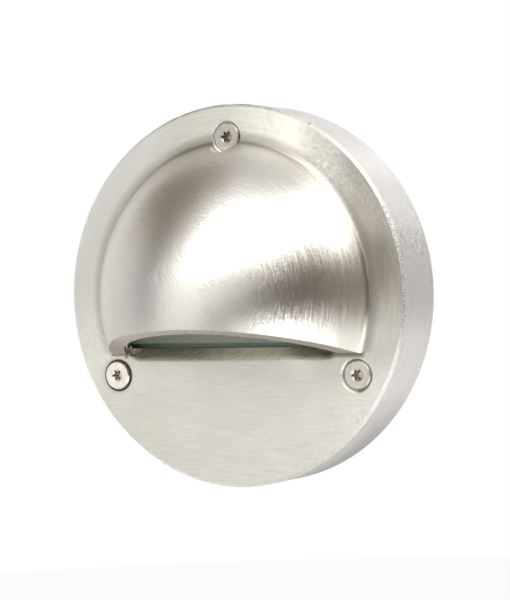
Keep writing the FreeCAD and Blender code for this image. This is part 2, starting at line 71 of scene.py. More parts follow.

# ---- tones of the cover's steel, red, green and blue from 0 to 1
FACE_DEEP = (0.90, 0.885, 0.80)
FACE_PALE = (0.95, 0.94, 0.86)
BORDER_STRIP_SHADE = (0.27, 0.215, 0.155)    # painted shade: a strip on the right beside the hood
BORDER_WARM_SHADE = (0.60, 0.56, 0.48)      # warm painted shade at the upper right
BORDER_PAINTED_LIGHT = (0.99, 0.98, 0.92)      # painted light on the left
HOOD_TONE = (0.80, 0.775, 0.72)
# painted shade in a blotch on the hood's right
HOOD_BLOTCH_SHADE = (0.62, 0.555, 0.465)
# painted shade in the cove at the hood's foot, darkest at its top
COVE_CREASE_SHADE = (0.56, 0.52, 0.46)
COVE_TOP_SHADE = (0.33, 0.28, 0.22)
COVE_STRIP_SHADE = (0.26, 0.22, 0.18)        # painted shade in the cove beside that strip
SIDE_TONE = (0.83, 0.805, 0.785)
SIDE_RIGHT_SHADE = (0.46, 0.45, 0.44)        # painted shade on the right, at mid height
SIDE_LOW_SHADE = (0.42, 0.41, 0.41)       # painted shade at the bottom
SIDE_WIPED = (0.50, 0.48, 0.47)
SIDE_PITS = (0.50, 0.47, 0.44)
STREAK_TONE = (0.63, 0.61, 0.55)
HOLLOW_TONE = (0.78, 0.75, 0.68)
LIP_BRIGHT = (0.70, 0.635, 0.57)
LIP_DARK = (0.52, 0.47, 0.41)
LIP_SHADED = (0.34, 0.30, 0.26)       # left end
SILL_DEEP = (0.80, 0.75, 0.60)
SILL_PALE = (0.99, 0.96, 0.82)
# painted shadow under the right end of the lip
LIP_END_SHADOW_TONE = (0.27, 0.22, 0.17)
RIM_BRIGHT = (1.0, 0.99, 0.94)
RIM_CHIPPED = (0.62, 0.56, 0.48)
RIM_UPPER = (0.72, 0.70, 0.64)
RIM_TOP_SHADE = (0.22, 0.17, 0.12)        # painted shade in dashes along the top
# painted shade in gaps, creases and countersinks
GAP_SHADE_TONE = (0.08, 0.06, 0.045)
RECESS_TONE = (0.34, 0.23, 0.13)      # painted shade deep in the screws' recesses
HEAD_EDGE_TONE = (0.10, 0.08, 0.06)   # painted shadow round the screws' heads

# ---- brushing
BORDER_BRUSH = {"Metallic": 1.0, "Anisotropic": 0.9, "Anisotropic_Rotation": 0.25}
HOOD_BRUSH = {"Metallic": 1.0, "Anisotropic": 0.6, "Anisotropic_Rotation": 0.25}
GENTLE_FALL = 10.0                    # degrees that the hood's upper left strokes fall to the right
STEEP_FALL = 50.0                     # the same, of the strokes on its middle
SILL_SLANT = 24.0                     # degrees that the scrape marks on the sill rise to the right


# ------------------------------------------------------------ node trees


def feed(tree, socket, value):
    """Links a socket to an output, or sets the socket's own value."""
    if isinstance(value, bpy.types.NodeSocket):
        tree.links.new(value, socket)
    else:
        socket.default_value = value


def calc(tree, operation, first, second=0.0, third=0.0):
    """One Math node."""
    node = tree.nodes.new("ShaderNodeMath")
    node.operation = operation
    for socket, value in zip(node.inputs, (first, second, third)):
        feed(tree, socket, value)
    return node.outputs[0]


def product(tree, *values):
    """All values multiplied."""
    result = values[0]
    for value in values[1:]:
        result = calc(tree, "MULTIPLY", result, value)
    return result


def total(tree, *values):
    """All values added."""
    result = values[0]
    for value in values[1:]:
        result = calc(tree, "ADD", result, value)
    return result


def highest(tree, *values):
    """The highest of the values."""
    result = values[0]
    for value in values[1:]:
        result = calc(tree, "MAXIMUM", result, value)
    return result


def minus(tree, first, second):
    """The first value less the second."""
    return calc(tree, "SUBTRACT", first, second)


def apart(tree, first, second):
    """How far two values are apart."""
    return calc(tree, "ABSOLUTE", minus(tree, first, second))


def length_of(tree, first, second):
    """Square root of the sum of two squares."""
    return calc(tree, "SQRT", total(tree, product(tree, first, first), product(tree, second, second)))


def mixed(tree, share, first, second):
    """A number between two numbers."""
    return calc(tree, "MULTIPLY_ADD", minus(tree, second, first), share, first)


def remap(tree, value, low, high, to_low=0.0, to_high=1.0):
    """The value carried smoothly from one range to another and held at its ends."""
    node = tree.nodes.new("ShaderNodeMapRange")
    node.interpolation_type = "SMOOTHSTEP"
    for name, number in (("From Min", low), ("From Max", high), ("To Min", to_low), ("To Max", to_high)):
        feed(tree, node.inputs[name], number)
    feed(tree, node.inputs["Value"], value)
    return node.outputs["Result"]


def vector(tree, x, y, z):
    """One vector of three values."""
    node = tree.nodes.new("ShaderNodeCombineXYZ")
    for socket, value in zip(node.inputs, (x, y, z)):
        feed(tree, socket, value)
    return node.outputs[0]


def parts_of(tree, value):
    """x, y and z of a vector."""
    node = tree.nodes.new("ShaderNodeSeparateXYZ")
    feed(tree, node.inputs[0], value)
    return node.outputs[0], node.outputs[1], node.outputs[2]


def place(tree):
    """x, y and z of the point on the surface, in the light's own frame."""
    return parts_of(tree, tree.nodes.new("ShaderNodeTexCoord").outputs["Object"])


def vector_calc(tree, operation, first, second=None):
    """One Vector Math node; to scale a vector, the second value is a number."""
    node = tree.nodes.new("ShaderNodeVectorMath")
    node.operation = operation
    feed(tree, node.inputs[0], first)
    if second is not None:
        feed(tree, node.inputs["Scale" if operation == "SCALE" else 1], second)
    return node.outputs[0]


def along(tree, share, first, second):
    """A vector between two vectors."""
    node = tree.nodes.new("ShaderNodeMix")
    node.data_type = "VECTOR"
    feed(tree, node.inputs[0], share)
    feed(tree, node.inputs[4], first)
    feed(tree, node.inputs[5], second)
    return node.outputs[1]


def noise(tree, where, scale=1.0, detail=2.0, rough=0.5, extra=None):
    """Cloudy noise from 0 to 1. An extra value makes it four-dimensional."""
    node = tree.nodes.new("ShaderNodeTexNoise")
    if extra is not None:
        node.noise_dimensions = "4D"
        feed(tree, node.inputs["W"], extra)
    feed(tree, node.inputs["Vector"], where)
    feed(tree, node.inputs["Scale"], scale)
    feed(tree, node.inputs["Detail"], detail)
    feed(tree, node.inputs["Roughness"], rough)
    return node.outputs[0]


def cells(tree, where, scale, feature="F1", randomness=1.0):
    """Distance to scattered points, or to the walls between them."""
    node = tree.nodes.new("ShaderNodeTexVoronoi")
    node.feature = feature
    feed(tree, node.inputs["Vector"], where)
    feed(tree, node.inputs["Scale"], scale)
    feed(tree, node.inputs["Randomness"], randomness)
    return node.outputs["Distance"]


def blend(tree, share, first, second):
    """A colour between two colours."""
    node = tree.nodes.new("ShaderNodeMix")
    node.data_type = "RGBA"
    feed(tree, node.inputs[0], share)
    feed(tree, node.inputs[6], first)
    feed(tree, node.inputs[7], second)
    return node.outputs[2]


def colour(red, green, blue):
    """Colour with full cover."""
    return (red, green, blue, 1.0)


def tint(tree, under, tone, *shares):
    """A tone laid over a colour, by the product of the shares."""
    return blend(tree, product(tree, *shares), under, colour(*tone))


def relief(tree, height, depth, strength=1.0, under=None):
    """A normal bent by a height that runs from 0 to 1 over the depth in metres."""
    node = tree.nodes.new("ShaderNodeBump")
    feed(tree, node.inputs["Height"], height)
    feed(tree, node.inputs["Distance"], depth)
    feed(tree, node.inputs["Strength"], strength)
    if under is not None:
        feed(tree, node.inputs["Normal"], under)
    return node.outputs[0]


def finish(name, **sockets):
    """A new material, its node tree and its Principled shader, with the shader's own values set."""
    material = bpy.data.materials.new(name)
    material.use_nodes = True
    tree = material.node_tree
    shader = tree.nodes["Principled BSDF"]
    set_sockets(shader, sockets)
    return material, tree, shader


def second_shader(tree, **sockets):
    """Another Principled shader, with its own values set."""
    shader = tree.nodes.new("ShaderNodeBsdfPrincipled")
    set_sockets(shader, sockets)
    return shader


def set_sockets(shader, sockets):
    """Sets a shader's own values; an underscore in a name stands for a space."""
    for socket, value in sockets.items():
        shader.inputs[socket.replace("_", " ")].default_value = value


def dress(tree, shader, base, rough, normal, lines=None):
    """Links a shader's colour, roughness and normal, and the direction of its brush lines."""
    feed(tree, shader.inputs["Base Color"], base)
    feed(tree, shader.inputs["Roughness"], rough)
    feed(tree, shader.inputs["Normal"], normal)
    if lines is not None:
        feed(tree, shader.inputs["Tangent"], lines)


def mixed_shaders(tree, share, first, second):
    """Two shaders mixed."""
    mix = tree.nodes.new("ShaderNodeMixShader")
    feed(tree, mix.inputs[0], share)
    feed(tree, mix.inputs[1], first)
    feed(tree, mix.inputs[2], second)
    return mix.outputs[0]


def show(tree, shader):
    """Makes a shader the one that the material shows."""
    feed(tree, tree.nodes["Material Output"].inputs["Surface"], shader)


# ------------------------------------------------------------ brush lines


def around_axis(tree, x, z):
    """Distance from an axis along Y, and the cosine and sine of the angle about it."""
    radius = length_of(tree, x, z)
    safe = calc(tree, "MAXIMUM", radius, 0.1 * MM)
    return radius, calc(tree, "DIVIDE", x, safe), calc(tree, "DIVIDE", z, safe)


def ring_lines(tree, turn):
    """Direction of brush lines that run round the axis."""
    return vector(tree, product(tree, turn[2], -1.0), 0.0, turn[1])


def falling_lines(degrees):
    """Direction of brush lines that fall to the right."""
    return (math.cos(math.radians(degrees)), 0.0, -math.sin(math.radians(degrees)))


def round_streaks(tree, turn, y, width, turns):
    """Brush lines about the axis: each is as wide as given, and `turns` sets how short they are."""
    radius, cosine, sine = turn
    across = product(tree, radius, 1 / width)
    where = vector(tree, across, product(tree, cosine, turns), product(tree, sine, turns))
    return noise(tree, where, 1.0, 2.0, 0.6, extra=product(tree, y, 1 / width))


def level_streaks(tree, x, z, width, length, detail=2.0):
    """Brush lines along X."""
    where = vector(tree, product(tree, x, 1 / length), 0.0, product(tree, z, 1 / width))
    return noise(tree, where, 1.0, detail, 0.6)


def slanted(tree, x, z, degrees):
    """x and z turned about the light's axis."""
    cosine, sine = math.cos(math.radians(degrees)), math.sin(math.radians(degrees))
    across = total(tree, product(tree, x, cosine), product(tree, z, sine))
    upward = minus(tree, product(tree, z, cosine), product(tree, x, sine))
    return across, upward


def turned_in_surface(tree, lines, angle):
    """Brush lines turned in the surface by an angle in radians."""
    normal = tree.nodes.new("ShaderNodeNewGeometry").outputs["Normal"]
    across = vector_calc(tree, "CROSS_PRODUCT", normal, lines)
    straight = vector_calc(tree, "SCALE", lines, calc(tree, "COSINE", angle))
    aside = vector_calc(tree, "SCALE", across, calc(tree, "SINE", angle))
    return vector_calc(tree, "ADD", straight, aside)


def tipped(tree, normal, lines, lean):
    """A normal leant along the brush lines, as the pressure of the strokes left it."""
    push = vector_calc(tree, "SCALE", lines, lean)
    return vector_calc(tree, "NORMALIZE", vector_calc(tree, "ADD", normal, push))


# ------------------------------------------------------------ where on the cover a point lies


def mark_hood(tree, at):
    """Shares of what stands proud of the face: the hollow, the lip's cut, the hood's outside, its cove."""
    radius = at.turn[0]
    at.proud = remap(tree, at.out, FACE_OUT + 0.1 * MM, FACE_OUT + 0.5 * MM)
    lip_plane = total(tree, LIP_HEIGHT, product(tree, minus(tree, at.out, FACE_OUT), math.tan(LIP_RISE)))
    above_lip = minus(tree, at.z, lip_plane)
    reach = length_of(tree, radius, minus(tree, at.out, FACE_OUT - HOOD_SET_BACK))
    at.hollow = product(tree, at.proud, remap(tree, reach, HOOD_RADIUS - 1.5 * MM, HOOD_RADIUS - 2.5 * MM))
    at.lip = product(tree, at.proud, remap(tree, above_lip, 0.12 * MM, 0.04 * MM))
    at.hood = product(tree, at.proud, minus(tree, 1.0, at.hollow), minus(tree, 1.0, at.lip))
    at.cove = product(
        tree,
        remap(tree, apart(tree, at.out, FACE_OUT + 0.7 * MM), 1.3 * MM, 0.2 * MM),
        remap(tree, radius, 42.5 * MM, 44.5 * MM),
        remap(tree, radius, 48.0 * MM, 45.5 * MM),
        remap(tree, above_lip, 0.1 * MM, 0.6 * MM),
    )


def mark_body(tree, at):
    """Shares of the sill, the bevelled rim, the side wall and the flat face."""
    radius = at.turn[0]
    at.sill = product(
        tree,
        remap(tree, at.out, FACE_OUT - 0.005 * MM, FACE_OUT - 0.06 * MM),
        remap(tree, at.z, SILL_HEIGHT + 0.3 * MM, SILL_HEIGHT),
        remap(tree, at.z, SILL_HEIGHT - 5.5 * MM, SILL_HEIGHT - 4.5 * MM),
        remap(tree, radius, 39.5 * MM, 38.5 * MM),
    )
    at.rim = product(
        tree,
        remap(tree, radius, BODY_RADIUS - 1.15 * RIM_WIDTH, BODY_RADIUS - 0.95 * RIM_WIDTH),
        remap(tree, at.out, FACE_OUT - 1.15 * RIM_WIDTH, FACE_OUT - 0.95 * RIM_WIDTH),
    )
    outside = remap(tree, radius, BODY_RADIUS - 0.3 * MM, BODY_RADIUS - 0.1 * MM)
    at.side = product(tree, outside, minus(tree, 1.0, at.rim))
    at.flat = minus(tree, 1.0, highest(tree, at.proud, at.side, at.rim))


def mark_strokes(tree, at):
    """Shares brushed level (lower face), steeply (the hood's middle) and gently falling (its upper left)."""
    edge = total(tree, at.z, product(tree, noise(tree, at.point, 60.0), 10 * MM))
    at.level = product(tree, at.flat, remap(tree, edge, -8 * MM, -24 * MM))
    wobble = product(tree, minus(tree, noise(tree, at.point, 90.0, 2.0), 0.5), 16 * MM)
    away = length_of(tree, minus(tree, at.x, -2 * MM), minus(tree, at.z, -3 * MM))
    at.steep = product(tree, at.hood, remap(tree, total(tree, away, wobble), 30 * MM, 10 * MM))
    up_left = total(tree, product(tree, at.x, -0.75), product(tree, at.z, 0.65), wobble)
    at.gentle = product(tree, at.hood, remap(tree, up_left, 4 * MM, 26 * MM))


def from_screw(tree, at, name, aside=0.0):
    """Distance from a screw's axis."""
    low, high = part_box("cover_screw_" + name)
    off_x = minus(tree, at.x, (low.x + high.x) / 2 + aside)
    return length_of(tree, off_x, minus(tree, at.z, (low.z + high.z) / 2))


def at_face(tree, at):
    """1 at the level of the flat face, 0 in front of it and behind it."""
    return remap(tree, apart(tree, at.out, FACE_OUT), 0.6 * MM, 0.3 * MM)


def screw_wells(tree, at):
    """Share of painted shade deep in the three countersinks."""
    deep = remap(tree, at.out, FACE_OUT - 0.28 * MM, FACE_OUT - 0.55 * MM)
    in_front = remap(tree, at.out, FACE_OUT - 4.0 * MM, FACE_OUT - 3.0 * MM)
    wells = [
        remap(tree, from_screw(tree, at, name), 5.6 * MM, 5.2 * MM, 0.0, gap_shade)
        for name, gap_shade in zip(SCREW_NAMES, SCREW_GAP_SHADE)
    ]
    return product(tree, highest(tree, *wells), deep, in_front)


def left_screw_gap(tree, at, inner, outer, aside=0.0):
    """Share of a ring on the face round the left screw's head, fading from the inner to the outer radius."""
    return product(tree, remap(tree, from_screw(tree, at, "left", aside), outer, inner), at_face(tree, at))


def shade_in_gaps(tree, at):
    """Share of the dark painted shade at the foot of the lip's left end and round the screws."""
    foot = product(
        tree,
        remap(tree, apart(tree, at.z, LIP_HEIGHT - 0.12 * MM), 0.34 * MM, 0.16 * MM),
        at_face(tree, at),
        remap(tree, at.turn[0], 45.5 * MM, 44.5 * MM),
        remap(tree, at.x, 0.0, -10 * MM),
    )
    # a painted shadow beside the left screw's head, and a faint painted shade round it
    line = left_screw_gap(tree, at, 4.65 * MM, 4.95 * MM, 0.32 * MM)
    halo = left_screw_gap(tree, at, 4.4 * MM, 6.2 * MM)
    return highest(tree, product(tree, foot, 0.55), screw_wells(tree, at), line, product(tree, halo, 0.22))


def hood_shade_blotch(tree, at):
    """Share of a warm, grainy painted shade in a blotch on the right of the hood."""
    ragged = product(tree, minus(tree, noise(tree, at.point, 220.0, 4.0, 0.65), 0.5), 16 * MM)
    off_z = product(tree, minus(tree, at.z, 3 * MM), 1.2)
    away = length_of(tree, minus(tree, at.x, 29 * MM), off_z)
    grains = remap(tree, noise(tree, at.point, 1300.0, 2.0, 0.7), 0.35, 0.65, 0.55, 1.0)
    return product(tree, remap(tree, total(tree, away, ragged), 15 * MM, 4 * MM), grains, 0.5)


def dull_strip(tree, at):
    """Share of the painted shade: a darker brown strip on the right border and the cove beside the hood."""
    surface = highest(tree, at.flat, product(tree, at.cove, 0.9))
    upper = remap(tree, at.z, 48 * MM, 36 * MM, 0.0, 0.58)
    middle = mixed(tree, remap(tree, at.z, 21 * MM, 11 * MM), upper, 1.0)
    return product(
        tree,
        surface,
        remap(tree, at.z, -13 * MM, 7 * MM),
        middle,
        remap(tree, at.x, 30 * MM, 42 * MM),
        remap(tree, at.x, 52.5 * MM, 48.5 * MM, 0.80, 1.0),
        remap(tree, at.fine, 0.3, 0.7, 0.7, 1.0),
    )


def lip_end_shadow(tree, at):
    """Share of a brown painted shadow on the face under the right end of the lip, fading downwards."""
    return product(
        tree,
        minus(tree, at.flat, product(tree, at.sill, 0.6)),
        remap(tree, at.x, 25 * MM, 33 * MM),
        remap(tree, at.x, 43 * MM, 41 * MM),
        remap(tree, at.z, -18.4 * MM, -17.1 * MM),
        remap(tree, at.z, -15.8 * MM, -16.6 * MM),
        remap(tree, at.cloud, 0.3, 0.6, 0.6, 1.0),
        0.9,
    )


# ------------------------------------------------------------ finish of the cover


def hood_heights(tree, at, width, length):
    """Brush lines of the hood and border as a height from 0 to 1, in the strokes' three directions."""
    arcs = round_streaks(tree, at.turn, at.y, width, 36 * MM / length)
    steep = level_streaks(tree, *slanted(tree, at.x, at.z, -STEEP_FALL), width, length)
    gentle = level_streaks(tree, *slanted(tree, at.x, at.z, -GENTLE_FALL), width, length)
    return mixed(tree, at.steep, mixed(tree, at.gentle, arcs, gentle), steep)


def brush_heights(tree, at, hood_size, level_size):
    """Brush lines of the whole cover as a height from 0 to 1; each size is a width and a length."""
    level = level_streaks(tree, at.x, at.z, *level_size)
    return mixed(tree, at.level, hood_heights(tree, at, *hood_size), level)


def cover_point(tree):
    """What the cover's tones, roughness and relief read at a point: its place, its zones and its grain."""
    at = SimpleNamespace()
    at.x, at.y, at.z = place(tree)
    at.point = vector(tree, at.x, at.y, at.z)
    at.out = product(tree, at.y, -1.0)
    at.turn = around_axis(tree, at.x, at.z)
    mark_hood(tree, at)
    mark_body(tree, at)
    mark_strokes(tree, at)
    at.fine = brush_heights(tree, at, (0.28 * MM, 5 * MM), (0.28 * MM, 9 * MM))
    at.wide = brush_heights(tree, at, (0.75 * MM, 6 * MM), (0.9 * MM, 14 * MM))
    at.cloud = noise(tree, at.point, 55.0, 3.0, 0.55)
    at.speck = noise(tree, at.point, 2600.0, 2.0, 0.7)
    at.sawn = remap(tree, noise(tree, at.point, 1300.0, 3.0, 0.7), 0.40, 0.62)
    at.scrapes = level_streaks(tree, *slanted(tree, at.x, at.z, SILL_SLANT), 0.35 * MM, 4 * MM, 3.0)
    at.sway = product(tree, minus(tree, noise(tree, at.point, 900.0, 1.0), 0.5), 0.5)
    # painted shade in the strip beside the hood
    at.dull = dull_strip(tree, at)
    # painted light on the left border
    left = remap(tree, at.x, -15 * MM, -35 * MM)
    at.pale = product(tree, at.flat, left, remap(tree, at.z, -22 * MM, -6 * MM))
    return at


def face_tones(tree, at):
    """The flat face: cloudy, with painted shade in a brown strip on the right beside the hood, a warm painted
    shade at the upper right and painted light on the left.
    """
    steel = blend(tree, remap(tree, at.cloud, 0.35, 0.65), colour(*FACE_DEEP), colour(*FACE_PALE))
    # painted shade: the strip beside the hood
    steel = tint(tree, steel, BORDER_STRIP_SHADE, at.dull)
    # a warm painted shade over the upper right of the border
    warm = product(tree, remap(tree, at.x, 10 * MM, 19 * MM), remap(tree, at.x, 36 * MM, 27 * MM))
    steel = tint(tree, steel, BORDER_WARM_SHADE, at.flat, warm, remap(tree, at.z, 30 * MM, 40 * MM), 0.42)
    return tint(tree, steel, BORDER_PAINTED_LIGHT, at.pale, 0.8)


def hood_tones(tree, at, steel):
    """The hood: a grainy painted shade in a blotch on its right, and painted shade in the cove at its foot,
    darkest at the top and the right.
    """
    steel = tint(tree, steel, HOOD_TONE, at.hood)
    steel = tint(tree, steel, HOOD_BLOTCH_SHADE, at.hood, hood_shade_blotch(tree, at))
    # painted shade in the cove all round, darker at its top
    steel = tint(tree, steel, COVE_CREASE_SHADE, at.cove, 0.8)
    top = product(tree, remap(tree, at.z, 34 * MM, 41 * MM), remap(tree, at.x, -24 * MM, -12 * MM))
    steel = tint(tree, steel, COVE_TOP_SHADE, at.cove, top, 0.65)
    # painted shade in the cove beside the strip
    return tint(tree, steel, COVE_STRIP_SHADE, at.cove, at.dull, 0.8)


def side_tones(tree, at, steel):
    """The side wall: painted shade on the right at mid height, and painted shade below towards the wall."""
    steel = tint(tree, steel, SIDE_TONE, at.side)
    dull = product(tree, remap(tree, at.x, 30 * MM, 46 * MM), remap(tree, at.z, 40 * MM, 27 * MM))
    steel = tint(tree, steel, SIDE_RIGHT_SHADE, at.side, dull, remap(tree, at.z, 6 * MM, 17 * MM), 0.55)
    low = remap(tree, at.z, -24 * MM, -46 * MM)
    return tint(tree, steel, SIDE_LOW_SHADE, at.side, low, remap(tree, at.out, 17 * MM, 4 * MM, 0.3, 1.0), 0.85)


def opening_tones(tree, at, steel):
    """The hood's hollow, the sawn cut of its lip with painted shade on its left end, the scraped sill and the
    painted shadow beside it.
    """
    steel = tint(tree, steel, HOLLOW_TONE, at.hollow)
    sawn = blend(tree, at.sawn, colour(*LIP_BRIGHT), colour(*LIP_DARK))
    steel = blend(tree, at.lip, steel, sawn)
    steel = tint(tree, steel, LIP_SHADED, at.lip, remap(tree, at.x, -22 * MM, -36 * MM), 0.5)
    scraped = blend(tree, remap(tree, at.scrapes, 0.38, 0.62), colour(*SILL_DEEP), colour(*SILL_PALE))
    steel = blend(tree, at.sill, steel, scraped)
    return tint(tree, steel, LIP_END_SHADOW_TONE, lip_end_shadow(tree, at))


def rim_tones(tree, at, steel):
    """The bevelled rim: bright, chipped at mid height on the right, darker above, with painted shade in
    dashes along its top edge.
    """
    low_or_high = remap(tree, apart(tree, at.z, 6 * MM), 24 * MM, 14 * MM)
    rough_part = product(tree, remap(tree, at.x, 44 * MM, 49 * MM), low_or_high)
    chips = product(tree, remap(tree, at.speck, 0.48, 0.60), remap(tree, rough_part, 0.0, 1.0, 0.25, 1.0))
    steel = blend(tree, at.rim, steel, blend(tree, chips, colour(*RIM_BRIGHT), colour(*RIM_CHIPPED)))
    steel = tint(tree, steel, RIM_UPPER, at.rim, remap(tree, at.z, 34 * MM, 46 * MM), 0.5)
    outer = remap(tree, at.out, FACE_OUT - 0.1 * MM, FACE_OUT - 0.4 * MM)
    dashes = remap(tree, round_streaks(tree, at.turn, at.y, 0.3 * MM, 9.0), 0.46, 0.56)
    # painted shade along the rim's outer edge at the top, broken into dashes
    return tint(tree, steel, RIM_TOP_SHADE, at.rim, remap(tree, at.z, 49 * MM, 53 * MM), outer, dashes, 0.75)


def cover_colour(tree, at):
    """The cover's steel, zone by zone, with its brush streaks, wiped marks, pits and painted shade in the
    gaps.
    """
    steel = side_tones(tree, at, hood_tones(tree, at, face_tones(tree, at)))
    # the streaks are fainter under the painted light on the left
    streaks_kept = minus(tree, 1.0, product(tree, at.pale, 0.6))
    steel = tint(tree, steel, STREAK_TONE, remap(tree, at.fine, 0.35, 0.75, 0.0, 0.4), streaks_kept)
    steel = opening_tones(tree, at, steel)
    wiped = remap(tree, round_streaks(tree, at.turn, at.y, 0.45 * MM, 7.0), 0.42, 0.66)
    steel = tint(tree, steel, SIDE_WIPED, at.side, wiped, 0.32)
    steel = rim_tones(tree, at, steel)
    pits = remap(tree, noise(tree, at.point, 900.0, 3.0, 0.7), 0.60, 0.72)
    steel = tint(tree, steel, SIDE_PITS, at.side, pits, 0.5)
    return tint(tree, steel, GAP_SHADE_TONE, shade_in_gaps(tree, at), 0.98)


def border_roughness(tree, at):
    """Roughness of all but the hood's outside."""
    return total(
        tree,
        0.40,
        product(tree, at.cloud, 0.06),
        product(tree, at.wide, 0.06),
        product(tree, at.side, -0.06),
        product(tree, at.rim, 0.2),
        product(tree, at.lip, 0.10),
        product(tree, at.hollow, 0.2),
        product(tree, at.sill, 0.3),
        product(tree, at.cove, 0.1),
    )


def cover_relief(tree, at):
    """Brush lines all over, chips on the rim, saw marks on the lip and scrape marks on the sill."""
    normal = relief(tree, at.wide, mixed(tree, at.hood, 0.02 * MM, 0.06 * MM))
    normal = relief(tree, at.fine, 0.01 * MM, under=normal)
    normal = relief(tree, at.speck, 0.06 * MM, at.rim, under=normal)
    normal = relief(tree, at.sawn, 0.05 * MM, at.lip, under=normal)
    return relief(tree, at.scrapes, 0.03 * MM, at.sill, under=normal)


def border_lines(tree, at):
    """Direction of the border's brush lines: round the axis, and nearly upright on the right."""
    lean = product(tree, highest(tree, at.turn[2], 0.0), -0.35)
    upright = product(tree, at.flat, remap(tree, at.x, 12 * MM, 34 * MM))
    return along(tree, upright, ring_lines(tree, at.turn), vector(tree, lean, 0.0, 1.0))


def brushed_hood(tree, at, steel, normal):
    """The hood's outside: strokes in arcs, gently falling and steep, faded into one another."""
    rough = total(tree, 0.25, product(tree, at.cloud, 0.06), product(tree, at.wide, 0.08))
    grain = relief(tree, noise(tree, at.point, 1500.0, 3.0, 0.7), 0.035 * MM, under=normal)
    press = product(tree, minus(tree, hood_heights(tree, at, 0.35 * MM, 6 * MM), 0.5), 0.2)
    strokes = []
    for direction in (ring_lines(tree, at.turn), falling_lines(GENTLE_FALL), falling_lines(STEEP_FALL)):
        shader = second_shader(tree, **HOOD_BRUSH)
        lines = turned_in_surface(tree, direction, at.sway)
        dress(tree, shader, steel, rough, tipped(tree, grain, lines, press), lines)
        strokes.append(shader.outputs[0])
    arcs, gentle, steep = strokes
    return mixed_shaders(tree, at.steep, mixed_shaders(tree, at.gentle, arcs, gentle), steep)


def brushed_cover():
    """Stainless steel brushed by hand: round the axis, level on the lower face, crossing on the hood."""
    material, tree, around = finish("stainless_brushed", **BORDER_BRUSH)
    level = second_shader(tree, **BORDER_BRUSH)
    at = cover_point(tree)
    steel = cover_colour(tree, at)
    rough = border_roughness(tree, at)
    normal = cover_relief(tree, at)
    for shader, direction in ((around, border_lines(tree, at)), (level, falling_lines(0.0))):
        dress(tree, shader, steel, rough, normal, turned_in_surface(tree, direction, at.sway))
    border = mixed_shaders(tree, at.level, around.outputs[0], level.outputs[0])
    show(tree, mixed_shaders(tree, at.hood, border, brushed_hood(tree, at, steel, normal)))
    return material


# ------------------------------------------------------------ screws and glass


def screw_steel(name, tone, gap_shade, low, high):
    """Warm steel with turning marks about the screw's axis, and painted shade in the recess and round the
    head's edge.
    """
    material, tree, shader = finish(name, Metallic=1.0, Anisotropic=0.3, Anisotropic_Rotation=0.25)
    x, y, z = place(tree)
    depth = minus(tree, y, low.y)
    x = minus(tree, x, (low.x + high.x) / 2)
    z = minus(tree, z, (low.z + high.z) / 2)
    turn = around_axis(tree, x, z)
    rings = round_streaks(tree, turn, y, 0.15 * MM, 3.0)
    grain = noise(tree, vector(tree, x, y, z), 1500.0, 3.0, 0.6)
    light = colour(tone, tone * 0.97, tone * 0.89)
    dark = colour(tone * 0.80, tone * 0.76, tone * 0.68)
    steel = blend(tree, remap(tree, grain, 0.35, 0.65), dark, light)
    # painted shade, darker deeper in the recess
    recess = product(tree, remap(tree, turn[0], 1.85 * MM, 1.75 * MM), 0.35 + 0.65 * gap_shade)
    floor = remap(tree, turn[0], 0.45 * MM, 0.95 * MM, 0.1, 0.85)
    steel = tint(tree, steel, RECESS_TONE, recess, floor, remap(tree, depth, 0.45 * MM, 1.2 * MM))
    # painted shadow on the head's side
    edge = product(tree, remap(tree, turn[0], 4.02 * MM, 4.12 * MM), remap(tree, depth, 0.36 * MM, 0.5 * MM))
    steel = tint(tree, steel, HEAD_EDGE_TONE, edge, gap_shade)
    rough = total(tree, 0.24, product(tree, rings, 0.18))
    normal = relief(tree, grain, 0.004 * MM, under=relief(tree, rings, 0.004 * MM))
    dress(tree, shader, steel, rough, normal, ring_lines(tree, turn))
    return material


def frosted_glass():
    """Greenish glass, sand-blasted over its front, clear and dark green near the sill."""
    material, tree, shader = finish("glass_frosted", IOR=1.52, Transmission_Weight=0.55)
    x, y, z = place(tree)
    grain = noise(tree, vector(tree, x, y, z), 3500.0, 2.0, 0.7)
    cloud = noise(tree, vector(tree, product(tree, x, 0.3), y, z), 150.0, 2.0)
    uneven = total(tree, z, product(tree, cloud, 0.4 * MM))
    margin = remap(tree, uneven, SILL_HEIGHT + 1.9 * MM, SILL_HEIGHT + 1.3 * MM)
    body = blend(tree, remap(tree, cloud, 0.3, 0.7), colour(0.67, 0.735, 0.62), colour(0.745, 0.80, 0.70))
    glass = tint(tree, body, (0.22, 0.34, 0.22), margin)
    rough = total(tree, 0.38, product(tree, grain, 0.2), product(tree, margin, -0.3))
    dress(tree, shader, glass, rough, relief(tree, grain, 0.004 * MM))
    return material


# ------------------------------------------------------------ finishes of what is inside and behind


def turned_steel(name, tone, rough=0.3):
    """Plain turned steel with fine rings about the light's axis."""
    material, tree, shader = finish(name, Metallic=1.0, Anisotropic=0.5, Anisotropic_Rotation=0.25)
    x, y, z = place(tree)
    turn = around_axis(tree, x, z)
    rings = round_streaks(tree, turn, y, 0.35 * MM, 1.2)
    cloud = noise(tree, vector(tree, x, y, z), 90.0, 3.0)
    light = colour(tone, tone * 0.99, tone * 0.97)
    dark = colour(tone * 0.8, tone * 0.79, tone * 0.76)
    steel = blend(tree, remap(tree, cloud, 0.3, 0.7), dark, light)
    rough = total(tree, rough, product(tree, rings, 0.15))
    dress(tree, shader, steel, rough, relief(tree, rings, 0.01 * MM), ring_lines(tree, turn))
    return material


